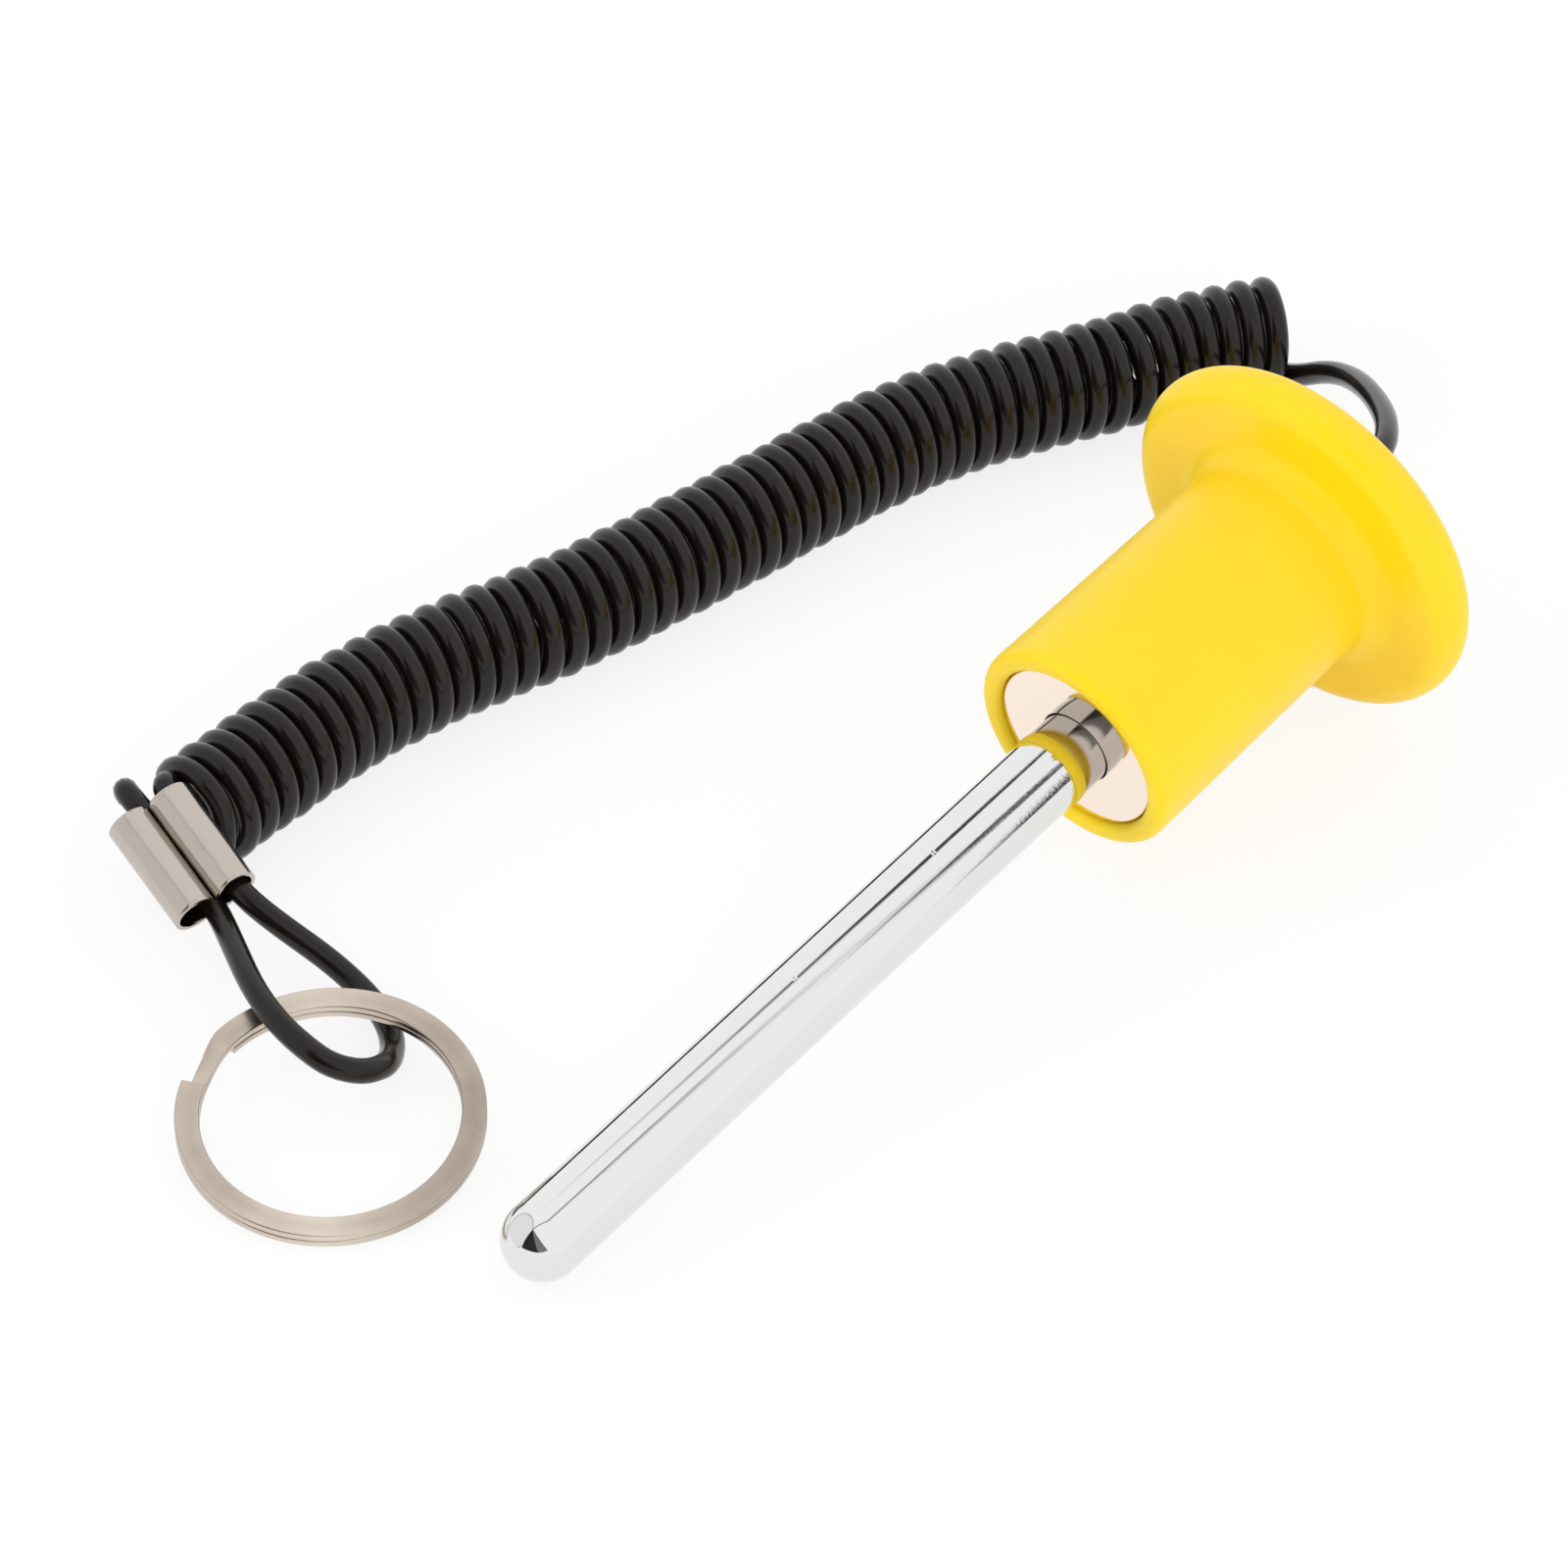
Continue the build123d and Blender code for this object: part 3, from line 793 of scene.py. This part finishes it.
def helix_points(route, turns, steps, radius, first_angle):
    """Turns around a route: centre(s) + r(a) * (cos a * side(s) + sin a * up(s)), a growing evenly with s.

    side(s) is level and square to the route, up(s) is square to both, and hand-worked turns are a little
    uneven: r(a) = radius * (1 - unevenness * (1 + sin(rate * a))).
    """
    gaps = np.linalg.norm(np.diff(route, axis=0), axis=1)
    run = np.r_[0.0, np.cumsum(gaps)]
    share = np.linspace(0.0, 1.0, round(turns * steps) + 1)
    centre = np.stack([np.interp(share * run[-1], run, route[:, axis]) for axis in range(3)], axis=-1)
    heading = np.gradient(centre, axis=0)
    heading /= np.linalg.norm(heading, axis=1)[:, None]
    side = np.cross(heading, (0.0, 0.0, 1.0))
    side /= np.linalg.norm(side, axis=1)[:, None]
    up = np.cross(side, heading)
    angle = first_angle + share[:, None] * 2 * np.pi * turns
    uneven = radius * (1 - COIL_UNEVENNESS * (1 + np.sin(COIL_UNEVEN_RATE * angle)))
    return centre + uneven * (np.cos(angle) * side + np.sin(angle) * up)


class STACKPIN_OT_cord(bpy.types.Operator):
    """One length of cord: out of the knob, round the coil, through the clamp, round the loop and out again"""
    bl_idname = "stackpin.cord"
    bl_label = "Coiled cord"

    def execute(self, context):
        settings = settings_of(context, "cord")
        probe = route_curve("coil_route", np.array(COIL_ROUTE) * MM)
        probe.resolution_u = 12
        route = centreline(probe)[::-1]
        # a spline of order 3 cuts inside its control points, so these stand out a little further
        reach = settings.coil_radius / math.cos(math.pi / settings.steps_per_turn)
        turns = settings.turns + COIL_LAST_PART
        coil = helix_points(route, turns, settings.steps_per_turn, reach, math.radians(COIL_START_ANGLE))
        start = PIN_TIP + PIN_LINE * STOP_FLOOR * MM
        straight = 1.5
        leave = PIN_TIP + PIN_LINE * (APEX + straight) * MM
        middle = (start + leave) / 2
        tail, loop = np.array(TAIL_ROUTE) * MM, np.array(LAST_HALF_TURN + LOOP_ROUTE) * MM
        points = np.vstack([start, middle, leave, tail, coil, loop])
        curve = route_curve("lanyard_cord", points)
        curve.resolution_u = 4
        curve.bevel_depth = settings.cord_radius
        curve.bevel_resolution = 4
        curve.use_fill_caps = True
        cord = bpy.data.objects.new("lanyard_cord", curve)
        context.scene.collection.objects.link(cord)
        stretches = ("lanyard_coil", "lanyard_loop", "lanyard_tail")
        dress(cord, black_urethane(settings), "black_urethane", LANYARD_BODY, *stretches)
        return {"FINISHED"}


# ---- pin ------------------------------------------------------------------------------------------
class STACKPIN_OT_rod(bpy.types.Operator):
    """Chromed rod with its round tip and the shank behind it, turned about the pin's line"""
    bl_idname = "stackpin.rod"
    bl_label = "Rod"

    def execute(self, context):
        settings = settings_of(context, "rod")
        radius = settings.rod_radius / MM
        shank = settings.shank_radius / MM
        edge, chamfer = 0.1, 1.0
        profile = outline(
            arc((radius, 0.0), radius, 180.0, 90.0, 40),
            np.stack([np.linspace(radius, ROD_END - edge, 12), np.full(12, radius)], axis=-1),
            [(ROD_END, radius - edge), (ROD_END, shank), (SHANK_END - chamfer, shank)],
            [(SHANK_END, shank - chamfer), (SHANK_END, 0.0)],
        )
        piece = lathe("pin_rod_chromed", profile, 160, sharp=10.0)
        dress(piece, chrome_plate(settings), "chromed_steel", LANYARD_BODY, "pin_rod")
        return {"FINISHED"}


class STACKPIN_OT_buffer(bpy.types.Operator):
    """Soft ring on the shank: radius (1 - t) front + t rear + 4 crown t (1 - t), t from front to rear"""
    bl_idname = "stackpin.buffer"
    bl_label = "Buffer ring"

    def execute(self, context):
        settings = settings_of(context, "rod")
        front, rear = settings.rod_radius / MM, settings.buffer_rear_radius / MM
        bore = settings.shank_radius / MM + BORE_ROOM
        share = np.linspace(0.0, 1.0, 17)
        crown = 0.12
        skin = (1 - share) * front + share * rear + 4 * crown * share * (1 - share)
        # the moulding flash: its angle, half width, reach, lift and rows
        flash = (114.0, 7.0, 0.45, 0.1, 3)
        profile = outline(
            np.stack([ROD_END + share * (NECK_FRONT - ROD_END), skin], axis=-1),
            [(NECK_FRONT, bore), (ROD_END, bore), (ROD_END, front)],
        )
        piece = lathe("buffer_ring_moulded", profile, 256, tongue=flash)
        # painted shade: the soft ring takes a darker copy of the knob's yellow
        yellow = settings.buffer_shaded_yellow
        material = yellow_urethane("cast_urethane_yellow_ring", yellow, yellow)
        dress(piece, material, "yellow_urethane", LANYARD_BODY, "buffer_ring")
        return {"FINISHED"}


class STACKPIN_OT_neck(bpy.types.Operator):
    """Nickel-plated neck of the threaded insert, with softened edges, its bore and its hidden barrel"""
    bl_idname = "stackpin.neck"
    bl_label = "Insert neck"

    def execute(self, context):
        settings = settings_of(context, "rod")
        neck = settings.neck_radius / MM
        bore = settings.shank_radius / MM + BORE_ROOM
        bore_end = SHANK_END + 1.5
        edge = 0.04
        profile = outline(
            [(bore_end, 0.0), (bore_end, bore), (NECK_FRONT, bore), (NECK_FRONT, neck - edge)],
            arc((NECK_FRONT + edge, neck - edge), edge, 180.0, 90.0, 6),
            [(INSERT_FLANGE, neck), (INSERT_FLANGE, INSERT_FLANGE_RADIUS), (BARREL, INSERT_FLANGE_RADIUS)],
            [(BARREL, BARREL_RADIUS), (BARREL_END, BARREL_RADIUS), (BARREL_END, 0.0)],
        )
        piece = lathe("threaded_insert_turned", profile, 128)
        nickel = nickel_plate("turned_nickel_plate", settings.neck_colour, low=0.1, high=0.15, scale=300.0)
        dress(piece, nickel, "nickel_plated_steel", LANYARD_BODY, "threaded_insert")
        return {"FINISHED"}


class STACKPIN_OT_magnet(bpy.types.Operator):
    """Ring magnet with small rounded edges and a bright plated face"""
    bl_idname = "stackpin.magnet"
    bl_label = "Magnet"

    def execute(self, context):
        settings = settings_of(context, "rod")
        outer = settings.magnet_radius / MM
        neck_room = 0.15
        inner = settings.neck_radius / MM + neck_room
        edge, inner_edge = 0.3, 0.12
        profile = outline(
            arc((MAGNET_FACE + inner_edge, inner + inner_edge), inner_edge, 270.0, 180.0, 4),
            [(MAGNET_FACE, outer - edge)],
            arc((MAGNET_FACE + edge, outer - edge), edge, 180.0, 90.0, 6),
            arc((INSERT_FLANGE - edge, outer - edge), edge, 90.0, 0.0, 6),
            [(INSERT_FLANGE, inner), (MAGNET_FACE + inner_edge, inner)],
        )
        piece = lathe("face_magnet_plated", profile, 160)
        nickel = nickel_plate("bright_nickel_plate", settings.magnet_colour, low=0.04, high=0.1, scale=120.0)
        dress(piece, nickel, "nickel_plated_magnet", LANYARD_BODY, "face_magnet")
        return {"FINISHED"}


class STACKPIN_OT_knob(bpy.types.Operator):
    """Mushroom knob: lip, tapered collar, concave flare, round rim and dome, turned about the pin's line"""
    bl_idname = "stackpin.knob"
    bl_label = "Knob"

    def execute(self, context):
        settings = settings_of(context, "knob")
        front = settings.collar_front_radius / MM
        rear = settings.collar_rear_radius / MM
        rim = settings.rim_round / MM
        flare = settings.flare_radius / MM
        rim_ring = settings.flange_radius / MM - rim
        pocket = 11.75
        outer_round, inner_round, mouth_round = 1.4, 0.8, 0.8
        flange_face = FLANGE_MIDDLE - rim
        reach = APEX - FLANGE_MIDDLE
        dome = (reach**2 + rim_ring**2 - rim**2) / (2 * (reach - rim))
        dome_middle = APEX - dome
        join = math.degrees(math.atan2(rim_ring, FLANGE_MIDDLE - dome_middle))
        hole = 1.7
        mouth = hole + mouth_round
        mouth_station = dome_middle + math.sqrt(dome**2 - mouth**2)
        mouth_angle = math.degrees(math.asin(mouth / dome))
        flare_start = flange_face - flare
        taper = np.linspace(0.0, 1.0, 14)[:, None]
        collar = (1 - taper) * (LIP + outer_round, front) + taper * (flare_start, rear)
        profile = outline(
            [(BARREL_END, 0.0), (BARREL_END, BARREL_RADIUS), (BARREL, BARREL_RADIUS)],
            [(BARREL, INSERT_FLANGE_RADIUS), (INSERT_FLANGE, INSERT_FLANGE_RADIUS)],
            [(INSERT_FLANGE, pocket), (LIP + inner_round, pocket)],
            arc((LIP + inner_round, pocket + inner_round), inner_round, 270.0, 180.0, 10),
            arc((LIP + outer_round, front - outer_round), outer_round, 180.0, 90.0, 14),
            collar,
            arc((flare_start, rear + flare), flare, 270.0, 360.0, 36),
            arc((FLANGE_MIDDLE, rim_ring), rim, 180.0, join, 40),
            arc((dome_middle, 0.0), dome, join, mouth_angle, 40),
            arc((mouth_station - mouth_round, mouth), mouth_round, 0.0, -90.0, 8),
            [(STOP_END, hole), (STOP_END, STOP_RADIUS), (STOP_FRONT, STOP_RADIUS), (STOP_FRONT, 0.0)],
        )
        piece = lathe("knob_moulded", profile, 224, sharp=30.0)
        material = yellow_urethane("cast_urethane_yellow", settings.colour, settings.deep_colour)
        dress(piece, material, "yellow_urethane", LANYARD_BODY, "knob")
        return {"FINISHED"}


class STACKPIN_OT_stop(bpy.types.Operator):
    """Crimped cup on the cord's end inside the knob"""
    bl_idname = "stackpin.stop"
    bl_label = "Cord stop"

    def execute(self, context):
        settings = settings_of(context, "rod")
        inner = 1.65
        profile = outline(
            [(STOP_FRONT, 0.0), (STOP_FRONT, STOP_RADIUS), (STOP_END, STOP_RADIUS)],
            [(STOP_END, inner), (STOP_FLOOR, inner), (STOP_FLOOR, 0.0)],
        )
        piece = lathe("cord_stop_crimped", profile, 64)
        nickel = nickel_plate("crimped_nickel_plate", settings.neck_colour, low=0.2, high=0.3, scale=300.0)
        dress(piece, nickel, "nickel_plated_steel", LANYARD_BODY, "cord_stop")
        return {"FINISHED"}


# ---- ferrule --------------------------------------------------------------------------------------
class STACKPIN_OT_ferrule(bpy.types.Operator):
    """Clamp folded from one sheet: flat back, two barrels, and both edges curled in to a middle seam"""
    bl_idname = "stackpin.ferrule"
    bl_label = "Ferrule"

    def execute(self, context):
        settings = settings_of(context, "ferrule")
        wall = settings.wall / MM
        barrel = settings.channel / MM + wall / 2
        offset = settings.channel / MM + wall - FERRULE_SQUEEZE
        half = np.vstack(
            [
                np.stack([np.linspace(0.0, offset, 8), np.full(8, -barrel)], axis=-1),
                arc((offset, 0.0), barrel, -90.0, FERRULE_CURL, 46)[1:],
            ]
        )
        fold = np.vstack([half[::-1] * (-1.0, 1.0), half[1:]])
        share = np.linspace(-0.5, 0.5, 33)
        along = np.array(FERRULE_ALONG, float)
        along /= np.linalg.norm(along)
        across = np.array(FERRULE_ACROSS, float)
        across -= along * (across @ along)
        across /= np.linalg.norm(across)
        out = np.cross(-along, across)
        points = (
            np.array(FERRULE_CENTRE)[None, None]
            + share[:, None, None] * settings.ferrule_length / MM * along
            + fold[None, :, :1] * across
            + fold[None, :, 1:] * out
        ) * MM
        piece = grid_piece("ferrule_folded", points, sharp=60.0)
        sheet = piece.modifiers.new("sheet", "SOLIDIFY")
        sheet.thickness = settings.wall
        sheet.offset = 0.0
        edge = piece.modifiers.new("edge", "BEVEL")
        edge.width = FERRULE_EDGE * MM
        edge.segments = 2
        edge.limit_method = "ANGLE"
        edge.angle_limit = math.radians(50.0)
        nickel = nickel_plate(
            "folded_nickel_plate", settings.colour, low=0.12, high=0.22, scale=220.0, scratch=0.1, dents=0.3
        )
        dress(piece, nickel, "nickel_plated_steel", LANYARD_BODY, "ferrule")
        return {"FINISHED"}


# ---- split ring -----------------------------------------------------------------------------------
RING_LEAN = 8.0
RING_LEAN_HEADING = 225.0
RING_CENTRE = (-72.2, 33.55)
CROSSING_HEADING = 105.4
CROSSING_HALF = 11.0
RING_END_ROOM = 1.9
RING_GAP = 0.05
RING_STEP = 1.5
# degrees along the wire, and how much of the crossing's cut is taken off there
CUT_STATIONS = (336.0, 341.0, 346.0, 360.0, 367.0, 373.0)
CUT_SHARES = (0.0, 0.5, 1.0, 0.85, 0.4, 0.0)


class STACKPIN_OT_ring(bpy.types.Operator):
    """Split ring: flat wire through two turns, climbing once where it crosses between its own two ends"""
    bl_idname = "stackpin.ring"
    bl_label = "Split ring"

    def execute(self, context):
        settings = settings_of(context, "ring")
        radius, band = settings.ring_radius / MM, settings.band / MM
        thick = settings.turn_thickness / MM
        climb = thick + RING_GAP
        # the wire runs from the lower free end, round to the climb, and round again to the upper free end
        climb_start, climb_end = 360.0 - CROSSING_HALF, 360.0 + CROSSING_HALF
        wire_start, wire_end = CROSSING_HALF + RING_END_ROOM, 720.0 - CROSSING_HALF - RING_END_ROOM
        lower = np.arange(wire_start, climb_start, RING_STEP)
        upper = np.arange(climb_end + RING_STEP, wire_end, RING_STEP)
        angle = np.r_[lower, np.linspace(climb_start, climb_end, 31), upper, wire_end]
        share = np.clip((angle - climb_start) / (2 * CROSSING_HALF), 0.0, 1.0)
        rise = (1 - np.cos(np.pi * share)) / 2 * climb
        width = band - np.interp(angle, CUT_STATIONS, CUT_SHARES) * settings.crossing_cut / MM
        # the wire's section: four rounded corners, each as its two signs and points on its rounding
        corner, steps = 0.25, 5
        loop = []
        for quarter, (sign_x, sign_z) in enumerate(((1.0, 1.0), (-1.0, 1.0), (-1.0, -1.0), (1.0, -1.0))):
            rounding = arc((0.0, 0.0), corner, quarter * 90.0, (quarter + 1) * 90.0, steps - 1)
            loop.append(np.hstack([np.full((steps, 1), sign_x), np.full((steps, 1), sign_z), rounding]))
        loop = np.vstack(loop)
        across = loop[None, :, 0] * (width[:, None] / 2 - corner) + loop[None, :, 2]
        height = loop[None, :, 1] * (thick / 2 - corner) + loop[None, :, 3]
        turn = np.radians(CROSSING_HEADING - RING_LEAN_HEADING - angle)[:, None]
        reach = (radius - band + width / 2)[:, None] + across
        height = height + thick / 2 + rise[:, None]
        flat = np.stack([reach * np.cos(turn), reach * np.sin(turn), height], axis=-1)
        tilt = Matrix.Rotation(math.radians(RING_LEAN), 3, "Y")
        lean = Matrix.Rotation(math.radians(RING_LEAN_HEADING), 3, "Z") @ tilt
        lift = radius * math.sin(math.radians(RING_LEAN))
        points = (flat @ np.array(lean).T + np.array((*RING_CENTRE, lift))) * MM
        piece = grid_piece("split_ring_wound", points, wrap_v=True, caps=True, sharp=50.0)
        nickel = nickel_plate(
            "nickel_plated_spring_wire",
            settings.colour,
            low=0.22,
            high=0.36,
            scale=260.0,
            second=settings.shade_and_fleck_colour,
            middle=np.array((*RING_CENTRE, lift)) * MM,
            # painted shade: the second colour darkens the ring towards this heading, and half as much
            # opposite it
            heading=(0.67, -0.742, 0.0),
            scratch=0.3,
        )
        dress(piece, nickel, "ring_steel", RING_BODY, "split_ring")
        return {"FINISHED"}


class STACKPIN_PT_panel(bpy.types.Panel):
    """Lists the pieces and their sizes"""
    bl_idname = "STACKPIN_PT_panel"
    bl_label = "Stack pin"
    bl_space_type = "VIEW_3D"
    bl_region_type = "UI"
    bl_category = "Stack pin"

    def draw(self, context):
        for operator in OPERATORS:
            self.layout.operator(operator.bl_idname)
        for name, group in GROUPS:
            box = self.layout.box()
            box.label(text=name.capitalize())
            for key in group.__annotations__:
                box.prop(settings_of(context, name), key)


OPERATORS = (
    STACKPIN_OT_camera,
    STACKPIN_OT_ferrule,
    STACKPIN_OT_ring,
    STACKPIN_OT_cord,
    STACKPIN_OT_rod,
    STACKPIN_OT_buffer,
    STACKPIN_OT_neck,
    STACKPIN_OT_magnet,
    STACKPIN_OT_knob,
    STACKPIN_OT_stop,
    STACKPIN_OT_stage,
)


def register():
    """Register the classes and hang each property group on the scene."""
    for name, group in GROUPS:
        bpy.utils.register_class(group)
        setattr(bpy.types.Scene, "stackpin_" + name, PointerProperty(type=group))
    for cls in (*OPERATORS, STACKPIN_PT_panel):
        bpy.utils.register_class(cls)


def unregister():
    """Undo register."""
    for cls in (STACKPIN_PT_panel, *reversed(OPERATORS)):
        bpy.utils.unregister_class(cls)
    for name, group in reversed(GROUPS):
        delattr(bpy.types.Scene, "stackpin_" + name)
        bpy.utils.unregister_class(group)


def main():
    """Build every piece in order."""
    register()
    bpy.context.scene.view_settings.view_transform = "Standard"
    for operator in OPERATORS:
        group, action = operator.bl_idname.split(".")
        getattr(getattr(bpy.ops, group), action)()


if __name__ == "__main__":
    main()
